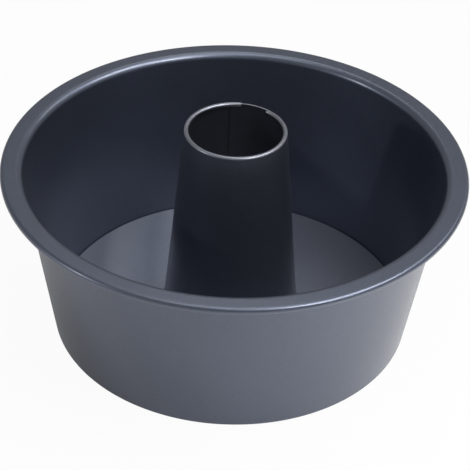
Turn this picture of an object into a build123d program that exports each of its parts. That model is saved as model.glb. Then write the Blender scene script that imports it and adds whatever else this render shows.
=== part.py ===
from build123d import *
from math import atan2, copysign, radians, sin, tan
import os

os.makedirs("parts", exist_ok=True)

# Two-piece angel food cake pan, in millimetres.
# The table is z = 0 and the pan's axis is Z. The tube's seam is at the back, on +Y.

# Pan shell: a tapered ring drawn from one steel sheet, open at the bottom
pan_height = 102.7         # table to the top of the flange
rim_radius = 130.0         # axis to the outside of the rolled edge
mouth_radius = 117.8       # inside of the wall, carried up to the top of the flange
floor_radius = 102.3       # inside of the wall, carried down to the top of the ledge
pan_sheet = 0.7
mouth_bend = 4.2           # wall to flange, on the side that shows
rim_roll = 2.1             # outside of the rolled edge
rim_roll_turn = 240        # degrees
corner_bend = 1.2          # outside of the bottom corner
ledge_width = 8.0          # from floor_radius to the ledge's free edge

# Base disc: the loose floor, which lies on the ledge
disc_sheet = 0.7
disc_clearance = 0.15      # disc's edge to the end of the ledge's flat

# Centre tube: one sheet rolled into a cone, lapped at the back, crimped to the disc
tube_height = 124.5        # table to the top of the rolled lip
tube_foot_radius = 39.4    # outside of the cone, where it leaves the disc
tube_lip_radius = 28.4     # outside of the cone, where the lip begins
tube_sheet = 0.6
lip_roll = 1.3             # outside of the lip, which rolls inwards
lip_roll_turn = 240        # degrees
foot_flange_width = 4.0    # flange turned out under the disc
foot_bead_width = 3.0      # bead that is swaged out over the disc
foot_bead_height = 3.5
foot_bead_bend = 0.9       # outside of the bead's crest
foot_bend = 0.25           # neck to flange and neck to bead, on the disc's side
foot_fit = 0.05            # between the disc and what clamps it
seam_gap = 0.05            # between the two layers of the lap
seam_angle = 97.5          # degrees from +X, where the sheet's inner edge lies
lap_turn = 12.5            # degrees that both layers cover
notch_turn = 46.5          # degrees from the inner edge to where the lip is fully rolled
notch_roll_turn = 100      # degrees that the lip is turned over beside the lap

quarter_turn = 90          # degrees
half_turn = 180            # degrees


def bent_side(corners, bends, roll, roll_turn):
    """One side of a bent sheet: a line rounded at its corners, then rolled at its end."""
    with BuildLine() as side:
        straight = FilletPolyline(*corners, radius=bends) if bends else Line(*corners)
        if roll_turn:
            JernArc(straight @ 1, straight % 1, roll, roll_turn)
    return side.wire()


def sheet_section(corners, bends, thickness, roll=0, roll_turn=0):
    """Section of a bent sheet, stood up in the XZ plane.

    The corners, as radius and height, give one side of the sheet, and the other side lies
    a thickness to its left. There a bend or roll to the left is tighter by the thickness,
    and one to the right is wider by as much.
    """
    near = [Vector(*corner) for corner in corners]
    headings = [end - start for start, end in zip(near, near[1:])]
    lefts = [heading.normalized().rotate(Axis.Z, quarter_turn) for heading in headings]
    far = [near[0] + lefts[0] * thickness]
    far_bends = []
    for corner, bend, before, after in zip(near[1:], bends, lefts, lefts[1:]):
        across = before + after
        far.append(corner + across * (2 * thickness / across.dot(across)))
        far_bends.append(bend - copysign(thickness, before.cross(after).Z * thickness))
    far.append(near[-1] + lefts[-1] * thickness)
    far_roll = roll - copysign(thickness, roll_turn * thickness)

    near_side = bent_side(near, bends, roll, roll_turn)
    far_side = bent_side(far, far_bends, far_roll, roll_turn)
    first_edge = Line(near_side @ 0, far_side @ 0)
    last_edge = Line(near_side @ 1, far_side @ 1)
    outline = near_side.edges() + far_side.edges() + first_edge.edges() + last_edge.edges()
    return Rot(quarter_turn, 0, 0) * make_face(outline)


# Pan shell: its section begins at the ledge's edge and ends in the rolled rim. The corners
# give the side that shows, and the sheet lies to its right, so its thickness is negative.
wall_lean = atan2(mouth_radius - floor_radius, pan_height - pan_sheet)
wall_turn = radians(quarter_turn) - wall_lean
corner_inside = corner_bend - pan_sheet
ledge_flat_radius = floor_radius - corner_inside * tan(wall_turn / 2)

shell_section = sheet_section(
    [
        (floor_radius - ledge_width, pan_sheet),
        (floor_radius, pan_sheet),
        (mouth_radius, pan_height),
        (rim_radius - rim_roll, pan_height),
    ],
    (corner_inside, mouth_bend),
    -pan_sheet,
    rim_roll,
    -rim_roll_turn,
)
pan_shell = revolve(shell_section, Axis.Z)

# Base disc: its hole clears both layers of the lap and the bends of the neck
disc_top = pan_sheet + disc_sheet
disc_radius = ledge_flat_radius - disc_clearance
lap_step = tube_sheet + seam_gap
disc_hole_radius = tube_foot_radius + lap_step + foot_bend + foot_fit

base_disc = Pos(0, 0, pan_sheet) * extrude(
    Circle(disc_radius) - Circle(disc_hole_radius), disc_sheet
)

# Centre tube: its sections, each a line up the outside of the sheet
bead_base_height = disc_top + foot_fit
lip_centre_height = tube_height - lip_roll
cone_lean = atan2(tube_foot_radius - tube_lip_radius, lip_centre_height - bead_base_height)
lip_start_height = lip_centre_height + lip_roll * sin(cone_lean)
neck_bend = min(foot_bend, (bead_base_height - pan_sheet) / 3)
foot_bends = (neck_bend, neck_bend, foot_bead_bend, foot_bead_bend)


def cone_radius(height):
    """Outside radius of the cone at a height."""
    return tube_foot_radius - (height - bead_base_height) * tan(cone_lean)


def foot_corners(step):
    """Corners of the flange, neck and bead, with the sheet a step further out."""
    neck = tube_foot_radius + step
    bead_end_height = bead_base_height + foot_bead_height
    return [
        (neck + foot_flange_width, pan_sheet),
        (neck, pan_sheet),
        (neck, bead_base_height),
        (neck + foot_bead_width, bead_base_height),
        (cone_radius(bead_end_height) + step, bead_end_height),
    ]


inner_layer_top = (cone_radius(lip_centre_height), lip_centre_height)


def rolled_section(step, roll_turn):
    """Whole section: flange, neck, bead, cone and the lip that rolls inwards."""
    lip_start = (cone_radius(lip_start_height) + step, lip_start_height)
    corners = [*foot_corners(step), lip_start]
    return sheet_section(corners, foot_bends, tube_sheet, lip_roll, roll_turn)


def inner_layer_section():
    """Section of the lap's inner layer, which is cut off above the foot and below the lip."""
    return sheet_section([foot_corners(0)[-1], inner_layer_top], (), tube_sheet)


def spun(section, axis_shift, start_angle, turn):
    """Turn a section clockwise about an upright axis that is shifted towards the seam."""
    seam_direction = Vector(1, 0).rotate(Axis.Z, seam_angle)
    solid = revolve(section, Axis.Z, -turn)
    return Pos(seam_direction * axis_shift) * Rot(0, 0, start_angle) * solid


# Centre tube: two half turns about two axes make a spiral, so that after one turn the
# sheet lies a step outside its own beginning and laps it. Beside the lap the sheet's corner
# is notched, so that its lip is only turned over.
lap_end_angle = seam_angle - lap_turn
notch_end_angle = seam_angle - notch_turn
far_side_angle = seam_angle - half_turn
centre_tube = Part() + [
    spun(inner_layer_section(), 0, seam_angle, lap_turn),
    spun(rolled_section(0, notch_roll_turn), 0, lap_end_angle, notch_turn - lap_turn),
    spun(rolled_section(0, lip_roll_turn), 0, notch_end_angle, half_turn - notch_turn),
    spun(rolled_section(lap_step / 2, lip_roll_turn), lap_step / 2, far_side_angle, half_turn),
    spun(rolled_section(lap_step, lip_roll_turn), 0, seam_angle, lap_turn),
]

for name, piece in {
    "pan_shell": pan_shell,
    "base_disc": base_disc,
    "centre_tube": centre_tube,
}.items():
    export_step(piece, f"parts/{name}.step")
    print(name, len(piece.solids()), piece.is_valid, round(piece.volume), piece.bounding_box())
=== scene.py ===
import math

import bpy
import numpy as np
from mathutils import Matrix, Vector


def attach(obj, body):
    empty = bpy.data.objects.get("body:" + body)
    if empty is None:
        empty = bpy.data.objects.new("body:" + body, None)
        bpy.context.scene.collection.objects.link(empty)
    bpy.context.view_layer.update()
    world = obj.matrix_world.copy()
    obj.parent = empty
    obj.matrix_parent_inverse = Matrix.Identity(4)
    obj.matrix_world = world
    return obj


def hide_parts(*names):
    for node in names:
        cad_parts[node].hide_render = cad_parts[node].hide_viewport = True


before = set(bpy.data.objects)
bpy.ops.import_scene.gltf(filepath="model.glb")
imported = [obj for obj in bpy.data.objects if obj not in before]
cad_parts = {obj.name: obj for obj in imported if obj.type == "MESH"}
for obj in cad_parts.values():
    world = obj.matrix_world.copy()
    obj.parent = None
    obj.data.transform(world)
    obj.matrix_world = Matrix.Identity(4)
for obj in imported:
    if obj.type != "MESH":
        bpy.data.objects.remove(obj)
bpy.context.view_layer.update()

# Two-piece angel food cake pan. Lengths are in metres and turns in degrees. The pan stands on z = 0,
# its axis is Z, and the camera looks along +Y.

# Pan shell: the outer ring, deep-drawn from one steel sheet and open at the bottom, where a ledge
# turned inwards carries the loose floor. Its wall flares into a flat flange, and the flange's
# edge is rolled under so that no cut edge shows.
shell_height = 0.1027
shell_rim_radius = 0.1300
shell_mouth_radius = 0.1178
shell_floor_radius = 0.1023
shell_sheet = 0.0007
shell_mouth_bend = 0.0042
shell_corner_bend = 0.0012
shell_ledge_width = 0.0080
shell_rim_roll = 0.0021
shell_rim_roll_turn = 240
shell_stations = 480
sheet_sharp_angle = 40


def arc_in_section(start, heading, radius, turn):
    """Points and headings along an arc of a section.

    The centre lies a radius to the side that the arc turns to, and each point is that centre
    plus a radius at right angles to its heading. Headings are at most arc_step apart.
    """
    arc_step = math.radians(9)
    side = math.copysign(1, turn)
    count = math.ceil(abs(turn) / arc_step) + 1
    headings = np.linspace(heading, heading + turn, count)
    left = np.stack([-np.sin(headings), np.cos(headings)], -1)
    return start + side * radius * (left[0] - left), headings


def bent_line(corners, bends):
    """Points and headings along a line rounded at its corners, in a section's plane.

    Each bend of radius r and turn a begins r * tan(a / 2) before its corner. A straight run has
    points at even steps, and one more close to each end, so that it is shaded as straight.
    """
    longest_step, end_step = 0.007, 0.0003
    corners = np.array(corners)
    runs = np.diff(corners, axis=0)
    angles = np.arctan2(runs[:, 1], runs[:, 0])
    turns = (np.diff(angles) + math.pi) % (2 * math.pi) - math.pi
    setbacks = np.append(np.array(bends) * np.tan(np.abs(turns) / 2), 0)
    points, headings, start = [], [], corners[0]
    for number, (angle, setback) in enumerate(zip(angles, setbacks)):
        direction = np.array([math.cos(angle), math.sin(angle)])
        length = (corners[number + 1] - start) @ direction - setback
        inner = np.linspace(end_step, length - end_step, math.ceil(length / longest_step) + 1)
        inner = inner if length > 3 * end_step else inner[:0]
        steps = np.concatenate([[0], inner, [length]])
        points.append(start + steps[:, None] * direction)
        headings.append(np.full(len(steps), angle))
        if number < len(turns):
            arc = arc_in_section(points[-1][-1], angle, bends[number], turns[number])
            points[-1], headings[-1] = points[-1][:-1], headings[-1][:-1]
            points.append(arc[0][:-1])
            headings.append(arc[1][:-1])
            start = arc[0][-1]
    return np.concatenate(points), np.concatenate(headings)


def both_sides(points, headings, thickness):
    """The sheet's two sides: the points, and the points a thickness to their left."""
    left = np.stack([-np.sin(headings), np.cos(headings)], -1)
    return points, points + thickness * left


def turned(section, angles):
    """Grid of points: each angle's row is the section's radius and height at that angle."""
    around = np.stack([np.cos(angles), np.sin(angles)], -1)
    plan = around[:, None, :] * section[None, :, :1]
    height = np.broadcast_to(section[None, :, 1:], (len(angles), len(section), 1))
    return np.concatenate([plan, height], -1)


def sheet_piece(name, near, far, cells, joined):
    """Closed mesh of a bent sheet from two grids of points, one for each side.

    A cell lies between four neighbouring points of a grid, and cells says which of them the
    sheet fills. A filled cell gives a face on each side. Where it borders an empty one, or the
    grid's end, a face across the thickness closes the cut edge. joined says that the last row
    of cells along the first direction meets the first one again.
    """
    turns, rows = near.shape[:2]
    index = np.arange(turns * rows).reshape(turns, rows)
    if joined:
        index = np.vstack([index, index[:1]])
    other_side = turns * rows
    corner_a, corner_b = index[:-1, :-1], index[1:, :-1]
    corner_c, corner_d = index[1:, 1:], index[:-1, 1:]

    def cut_edge(first, second, where):
        first, second = first[where], second[where]
        return np.stack([first, second, second + other_side, first + other_side], -1)

    around = np.pad(cells, ((1, 1), (0, 0)), mode="wrap" if joined else "constant")
    across = np.pad(cells, ((0, 0), (1, 1)))
    near_faces = np.stack([corner_a, corner_b, corner_c, corner_d], -1)[cells]
    faces = np.concatenate([
        near_faces,
        near_faces[:, ::-1] + other_side,
        cut_edge(corner_b, corner_a, cells & ~across[:, :-2]),
        cut_edge(corner_d, corner_c, cells & ~across[:, 2:]),
        cut_edge(corner_a, corner_d, cells & ~around[:-2]),
        cut_edge(corner_c, corner_b, cells & ~around[2:]),
    ])
    points = np.concatenate([near.reshape(-1, 3), far.reshape(-1, 3)])

    face = points[near_faces]
    normals = np.cross(face[:, 2] - face[:, 0], face[:, 3] - face[:, 1])
    outwards = points[near_faces[:, 0]] - points[near_faces[:, 0] + other_side]
    if (normals * outwards).sum() < 0:
        faces = faces[:, ::-1]

    used, faces = np.unique(faces, return_inverse=True)
    faces = faces.reshape(-1, 4)
    mesh = bpy.data.meshes.new(name)
    mesh.vertices.add(len(used))
    mesh.vertices.foreach_set("co", points[used].ravel())
    mesh.loops.add(faces.size)
    mesh.loops.foreach_set("vertex_index", faces.ravel().astype(np.int32))
    mesh.polygons.add(len(faces))
    mesh.polygons.foreach_set("loop_start", np.arange(0, faces.size, 4, dtype=np.int32))
    mesh.update(calc_edges=True)
    mesh.shade_smooth()
    mesh.set_sharp_from_angle(angle=math.radians(sheet_sharp_angle))
    piece = bpy.data.objects.new(name, mesh)
    bpy.context.scene.collection.objects.link(piece)
    return piece


shell_line, shell_headings = bent_line(
    [
        (shell_floor_radius - shell_ledge_width, shell_sheet),
        (shell_floor_radius, shell_sheet),
        (shell_mouth_radius, shell_height),
        (shell_rim_radius - shell_rim_roll, shell_height),
    ],
    (shell_corner_bend - shell_sheet, shell_mouth_bend),
)
rim_line, rim_headings = arc_in_section(
    shell_line[-1], shell_headings[-1], shell_rim_roll, -math.radians(shell_rim_roll_turn)
)
shell_line = np.concatenate([shell_line, rim_line[1:]])
shell_headings = np.concatenate([shell_headings, rim_headings[1:]])
shell_angles = np.linspace(0, 2 * math.pi, shell_stations, endpoint=False)
shell_shown, shell_hidden = both_sides(shell_line, shell_headings, -shell_sheet)
shell = sheet_piece(
    "drawn_shell",
    turned(shell_shown, shell_angles),
    turned(shell_hidden, shell_angles),
    np.ones((shell_stations, len(shell_line) - 1), bool),
    joined=True,
)


def linear(hex_colour):
    """Linear RGBA of an sRGB hex colour."""
    channels = [int(hex_colour[i:i + 2], 16) / 255 for i in (1, 3, 5)]
    return [c / 12.92 if c <= 0.04045 else ((c + 0.055) / 1.055) ** 2.4 for c in channels] + [1]


def add_node(tree, kind, settings=(), links=()):
    """Add a node, set its properties and inputs, and link other nodes' sockets to its inputs.

    An input goes by its name, or by its number where several have the same name.
    """
    node = tree.nodes.new(kind)
    for key, value in dict(settings).items():
        if isinstance(key, int) or key in node.inputs:
            node.inputs[key].default_value = value
        else:
            setattr(node, key, value)
    for key, socket in dict(links).items():
        tree.links.new(socket, node.inputs[key])
    return node


# Non-stick coating: a silicone enamel, sprayed on to the bare steel and cured. Fine aluminium flake
# in it gives a satin blue-grey that reflects like a dull metal, and the clear resin above the flake
# gives whiter and sharper highlights. The flake is drawn 0.6 mm across, because the real 0.05 mm
# wouldn't show.
coating_hexes = ("#5f6677", "#697082")
# Lighter colour for the crown of the tube's rolled lip: a painted highlight, which stands in for the
# bright line that the lip reflects.
painted_highlight_hex = "#8f939e"
coating_roughness = 0.40
coating_gloss = {"Coat Weight": 1.0, "Coat Roughness": 0.22, "Coat IOR": 1.5}
coating_metallic = 0.9
flake_size = 0.0006
mottle_size = 0.030
mottle_detail = {"Detail": 5.0, "Roughness": 0.6}
shade_start = -0.1
shade_flake_share = 0.5
shade_mottle_share = 0.7
roughness_spread = 0.06
peel_size = 0.0025
peel_depth = 0.000012
flake_tilt = 0.3
# Height over which the painted highlight blends in, and a height that nothing reaches, which leaves the
# painted highlight out.
painted_highlight_band = 0.0005
above_all = 1.0


def sprayed_coating(name, hexes, roughness, painted_highlight_from):
    """Material of the coating from its darkest and lightest colour, its roughness and the height
    from which a painted highlight lightens it.

    The colour lies between the dark and the light one. Its place there is a sum of shares: one of
    each flake's own number, and one of the slow mottling that a spray gun leaves. Roughness varies
    with the mottling and with another number of the flake. The height of the bump is the cured
    enamel's orange peel plus a share of the flake's third number, so that each flake catches the
    light differently. From the given height upwards the colour blends, over a thin band, into a
    lighter one: a painted highlight on the crown of a roll. Nothing is as high as above_all, which
    leaves that out.
    """
    material = bpy.data.materials.new(name)
    material.use_nodes = True
    tree = material.node_tree
    tree.nodes.clear()

    def weighted_sum(start, *terms):
        """Socket of start plus each term's number times its share."""
        total = add_node(tree, "ShaderNodeValue").outputs["Value"]
        total.default_value = start
        for number, share in terms:
            product = add_node(
                tree, "ShaderNodeMath", {"operation": "MULTIPLY_ADD", 1: share}, {0: number, 2: total}
            )
            total = product.outputs["Value"]
        return total

    place = add_node(tree, "ShaderNodeTexCoord").outputs["Object"]
    flake = add_node(tree, "ShaderNodeTexVoronoi", {"Scale": 1 / flake_size}, {"Vector": place})
    numbers = add_node(tree, "ShaderNodeSeparateColor", links={"Color": flake.outputs["Color"]}).outputs
    mottle = add_node(
        tree, "ShaderNodeTexNoise", {"Scale": 1 / mottle_size, **mottle_detail}, {"Vector": place}
    ).outputs["Fac"]
    peel = add_node(
        tree, "ShaderNodeTexNoise", {"Scale": 1 / peel_size, "Detail": 1.0}, {"Vector": place}
    ).outputs["Fac"]

    shade = weighted_sum(
        shade_start, (numbers["Red"], shade_flake_share), (mottle, shade_mottle_share)
    )
    sprayed = add_node(tree, "ShaderNodeValToRGB", links={"Fac": shade})
    for stop, hex_colour in zip(sprayed.color_ramp.elements, hexes):
        stop.color = linear(hex_colour)
    height = add_node(tree, "ShaderNodeSeparateXYZ", links={"Vector": place}).outputs["Z"]
    # Painted highlight: from the given height upwards the colour blends into the lighter one.
    painted_highlight_mix = add_node(
        tree, "ShaderNodeMapRange", {"From Min": painted_highlight_from, "From Max": painted_highlight_from + painted_highlight_band},
        {"Value": height},
    )
    # A mix of colours has its factor at input 0, its colours at 6 and 7, and its result at output 2.
    colour = add_node(
        tree, "ShaderNodeMix", {"data_type": "RGBA", 7: linear(painted_highlight_hex)},
        {0: painted_highlight_mix.outputs["Result"], 6: sprayed.outputs["Color"]},
    )
    bump = add_node(
        tree, "ShaderNodeBump", {"Strength": 1.0, "Distance": peel_depth},
        {"Height": weighted_sum(0.0, (peel, 1.0), (numbers["Blue"], flake_tilt))},
    )
    dullness = weighted_sum(
        roughness - roughness_spread, (numbers["Green"], roughness_spread), (mottle, roughness_spread)
    )
    shader = add_node(
        tree, "ShaderNodeBsdfPrincipled", {"Metallic": coating_metallic, **coating_gloss},
        {"Base Color": colour.outputs[2], "Roughness": dullness, "Normal": bump.outputs["Normal"]},
    )
    add_node(tree, "ShaderNodeOutputMaterial", links={"Surface": shader.outputs["BSDF"]})
    return material


shell.data.materials.append(
    sprayed_coating("nonstick_on_drawn_steel", coating_hexes, coating_roughness, above_all)
)
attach(shell, "pan")
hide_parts("pan_shell")

# Base disc: the loose floor, blanked flat from the same sheet. It lies on the ledge of the pan
# shell, and the centre tube is crimped through the hole in its middle. Its coating is duller than
# the shell's, and its colour is painted a little lighter, as painted light that stands in for the
# brighter light on the floor.
disc_sheet = 0.0007
disc_radius = 0.10172
disc_hole_radius = 0.04035
disc_stations = 480
# A lighter copy of the shell's colours: painted light for the brighter floor.
disc_painted_light_hexes = ("#707583", "#7c818f")
disc_roughness = 0.60

disc_line, disc_headings = bent_line(
    [(disc_hole_radius, shell_sheet + disc_sheet), (disc_radius, shell_sheet + disc_sheet)], ()
)
disc_angles = np.linspace(0, 2 * math.pi, disc_stations, endpoint=False)
disc_top, disc_underside = both_sides(disc_line, disc_headings, -disc_sheet)
disc = sheet_piece(
    "loose_floor",
    turned(disc_top, disc_angles),
    turned(disc_underside, disc_angles),
    np.ones((disc_stations, len(disc_line) - 1), bool),
    joined=True,
)
disc.data.materials.append(
    sprayed_coating("nonstick_on_blanked_steel", disc_painted_light_hexes, disc_roughness, above_all)
)
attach(disc, "core")
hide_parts("base_disc")

# Centre tube: one sheet rolled up into a cone. Its ends lap at the back, its top edge is rolled
# inwards into a lip, and its foot clamps the floor between a flange below and a bead above. The
# inner end of the sheet is notched at the foot and the lip, so that the lap stays thin.
tube_height = 0.1245
tube_foot_radius = 0.0394
tube_lip_radius = 0.0284
tube_sheet = 0.0006
tube_lip_roll = 0.0013
tube_lip_roll_turn = 240
tube_flange_width = 0.0040
tube_bead_width = 0.0030
tube_bead_height = 0.0035
tube_bead_bend = 0.0009
tube_neck_bend = 0.00025
tube_crimp_gap = 0.00005
tube_lap_step = 0.00065
tube_seam = 97.5
tube_lap = 12.5
tube_notch = 46.5
tube_notch_roll_turn = 100
tube_station_step = 0.9
tube_hexes = ("#636976", "#6d7380")

tube_bead_base = shell_sheet + disc_sheet + tube_crimp_gap
tube_lip_centre = tube_height - tube_lip_roll
tube_lean = math.atan2(tube_foot_radius - tube_lip_radius, tube_lip_centre - tube_bead_base)
tube_lip_start = tube_lip_centre + tube_lip_roll * math.sin(tube_lean)


def cone_point(height):
    """Radius and height of the tube's outside at a height."""
    return tube_foot_radius - (height - tube_bead_base) * math.tan(tube_lean), height


body_line, body_headings = bent_line(
    [
        (tube_foot_radius + tube_flange_width, shell_sheet),
        (tube_foot_radius, shell_sheet),
        (tube_foot_radius, tube_bead_base),
        (tube_foot_radius + tube_bead_width, tube_bead_base),
        cone_point(tube_bead_base + tube_bead_height),
        cone_point(tube_lip_centre),
    ],
    (tube_neck_bend, tube_neck_bend, tube_bead_bend, tube_bead_bend),
)
over_line, over_headings = arc_in_section(
    np.array(cone_point(tube_lip_start)), body_headings[-1],
    tube_lip_roll, math.radians(tube_notch_roll_turn),
)
roll_line, roll_headings = arc_in_section(
    over_line[-1], over_headings[-1],
    tube_lip_roll, math.radians(tube_lip_roll_turn - tube_notch_roll_turn),
)
tube_line = np.concatenate([body_line, over_line, roll_line[1:]])
tube_headings = np.concatenate([body_headings, over_headings, roll_headings[1:]])

# The sheet winds clockwise by tube_wound degrees from its inner end. Seen from above it is two
# half circles about centres half a step apart, and the lap lies a whole step further out.
tube_wound = np.unique(np.concatenate([
    np.arange(0, 360 + tube_lap, tube_station_step), [tube_lap, tube_notch, 180, 360, 360 + tube_lap]
]))
tube_angles = np.radians(tube_seam - tube_wound)
tube_step = np.where(tube_wound <= 180, 0, np.where(tube_wound <= 360, 0.5, 1)) * tube_lap_step
tube_shift = np.where((tube_wound > 180) & (tube_wound <= 360), 0.5, 0) * tube_lap_step
seam_direction = np.array([math.cos(math.radians(tube_seam)), math.sin(math.radians(tube_seam))])


def wound(section):
    """Grid of points: the section turned to each angle, a step further out, its centre shifted."""
    grid = turned(section, tube_angles)
    outwards = np.stack([np.cos(tube_angles), np.sin(tube_angles)], -1)
    grid[:, :, :2] += (tube_step[:, None] * outwards + tube_shift[:, None] * seam_direction)[:, None]
    return grid


tube_outside, tube_inside = both_sides(tube_line, tube_headings, tube_sheet)
cell_wound = (tube_wound[1:] + tube_wound[:-1])[:, None] / 2
cell_row = np.arange(len(tube_line) - 1)[None, :]
foot_rows = int(np.argmax(tube_line[:, 1] > tube_bead_base + tube_bead_height))
lip_rows = len(body_line) - 1
over_rows = lip_rows + len(over_line)
tube_cells = (cell_wound > tube_lap) | ((cell_row >= foot_rows) & (cell_row < lip_rows))
tube_cells &= (cell_wound > tube_notch) | (cell_row < over_rows)
tube = sheet_piece("rolled_tube", wound(tube_outside), wound(tube_inside), tube_cells, joined=False)
# The tube's coating has the painted highlight from the centre of its lip's roll upwards.
tube.data.materials.append(
    sprayed_coating("nonstick_on_rolled_steel", tube_hexes, coating_roughness, tube_lip_centre)
)
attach(tube, "core")
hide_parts("centre_tube")

# Table: a wide sheet of pale matt card. The camera sees most of its white directly, and reflections
# see some of it, and the rest is the light that falls on it, with the pan's soft shadow. It lies
# a tenth of a millimetre low, so that its face and the pan's underside don't share a plane.
table_size = 30.0
table_drop = 0.0001
table_hex = "#d7d7d7"
table_white_to_camera = 0.95
table_white_to_reflections = 0.09

table_mesh = bpy.data.meshes.new("table_top")
table_corners = np.array([(-1, -1, 0), (1, -1, 0), (1, 1, 0), (-1, 1, 0)]) * table_size / 2
table_corners[:, 2] = -table_drop
table_mesh.from_pydata(table_corners.tolist(), [], [(0, 1, 2, 3)])
table = bpy.data.objects.new("table_top", table_mesh)
bpy.context.scene.collection.objects.link(table)

card = bpy.data.materials.new("pale_card")
card.use_nodes = True
card_tree = card.node_tree
card_tree.nodes.clear()
card_path = add_node(card_tree, "ShaderNodeLightPath").outputs
card_share = add_node(
    card_tree, "ShaderNodeMath", {"operation": "MULTIPLY", 1: table_white_to_camera},
    {0: card_path["Is Camera Ray"]},
)
for ray in ("Is Glossy Ray", "Is Transmission Ray"):
    card_share = add_node(
        card_tree, "ShaderNodeMath", {"operation": "MULTIPLY_ADD", 1: table_white_to_reflections},
        {0: card_path[ray], 2: card_share.outputs["Value"]},
    )
card_matt = add_node(card_tree, "ShaderNodeBsdfDiffuse", {"Color": linear(table_hex)})
card_white = add_node(card_tree, "ShaderNodeEmission", {"Color": linear("#ffffff"), "Strength": 1.0})
card_mix = add_node(card_tree, "ShaderNodeMixShader", links={
    "Fac": card_share.outputs["Value"], 1: card_matt.outputs["BSDF"], 2: card_white.outputs["Emission"],
})
add_node(card_tree, "ShaderNodeOutputMaterial", links={"Surface": card_mix.outputs["Shader"]})
table_mesh.materials.append(card)

# Room: dim walls all round, which fill the shadows a little.
room_strength = 0.25

world = bpy.data.worlds.new("dim_room")
bpy.context.scene.world = world
world.use_nodes = True
room_tree = world.node_tree
room_tree.nodes.clear()
room_light = add_node(room_tree, "ShaderNodeBackground", {
    "Color": linear("#ffffff"), "Strength": room_strength,
})
add_node(room_tree, "ShaderNodeOutputWorld", links={"Surface": room_light.outputs["Background"]})

# Lamps: softboxes overhead, at the right, in front at the right, behind, and behind at the right.
# A small lamp low at the left draws the shadows inside the pan. An azimuth counts anticlockwise
# from +X, as seen from above.
lamps = {
    "top_softbox": {"azimuth": 0, "elevation": 90, "width": 1.2, "watts": 5.5},
    "right_softbox": {"azimuth": 0, "elevation": 55, "width": 0.8, "watts": 11.5},
    "front_softbox": {"azimuth": 315, "elevation": 55, "width": 0.6, "watts": 12.5},
    "back_softbox": {"azimuth": 90, "elevation": 55, "width": 0.6, "watts": 1.7},
    "back_right_softbox": {"azimuth": 45, "elevation": 45, "width": 0.6, "watts": 2.0},
    "small_lamp": {"azimuth": 200, "elevation": 21.5, "width": 0.1, "watts": 3.9},
}
lamp_distance = 2.0
for name, lamp in lamps.items():
    light = bpy.data.lights.new(name, "AREA")
    light.shape = "DISK"
    light.size = lamp["width"]
    light.energy = lamp["watts"]
    holder = bpy.data.objects.new(name, light)
    holder.matrix_world = (
        Matrix.Rotation(math.radians(lamp["azimuth"] + 90), 4, "Z")
        @ Matrix.Rotation(math.radians(90 - lamp["elevation"]), 4, "X")
        @ Matrix.Translation((0, 0, lamp_distance))
    )
    bpy.context.scene.collection.objects.link(holder)

# Spotlight: it brightens the card at the right, and the pan's wall reflects that bright patch.
spotlight_place = Vector((0.7, -0.6, 0.7))
spotlight_aim = Vector((0.30, -0.22, 0))
spotlight_angle = 34
spotlight_softness = 1.0
spotlight_width = 0.1
spotlight_watts = 30

spot = bpy.data.lights.new("spotlight", "SPOT")
spot.spot_size = math.radians(spotlight_angle)
spot.spot_blend = spotlight_softness
spot.shadow_soft_size = spotlight_width / 2
spot.energy = spotlight_watts
spot_holder = bpy.data.objects.new("spotlight", spot)
spot_holder.matrix_world = (
    Matrix.Translation(spotlight_place)
    @ (spotlight_aim - spotlight_place).to_track_quat("-Z", "Y").to_matrix().to_4x4()
)
bpy.context.scene.collection.objects.link(spot_holder)

# Camera: in front of the pan, looking down on it, a little tilted and turned about its own axis.
camera_aim_height = 0.102
camera_distance = 0.95365
camera_elevation = 34.19
camera_tilt = -2.39
camera_roll = 1.97
camera_lens = 131.2
camera_sensor = 36

camera_data = bpy.data.cameras.new("camera")
camera_data.lens = camera_lens
camera_data.sensor_width = camera_sensor
camera = bpy.data.objects.new("camera", camera_data)
camera.matrix_world = (
    Matrix.Translation((0, 0, camera_aim_height))
    @ Matrix.Rotation(math.radians(90 - camera_elevation), 4, "X")
    @ Matrix.Translation((0, 0, camera_distance))
    @ Matrix.Rotation(math.radians(camera_roll), 4, "Z")
    @ Matrix.Rotation(math.radians(camera_tilt), 4, "X")
)
bpy.context.scene.collection.objects.link(camera)
bpy.context.scene.camera = camera

bpy.context.scene.view_settings.view_transform = "Standard"
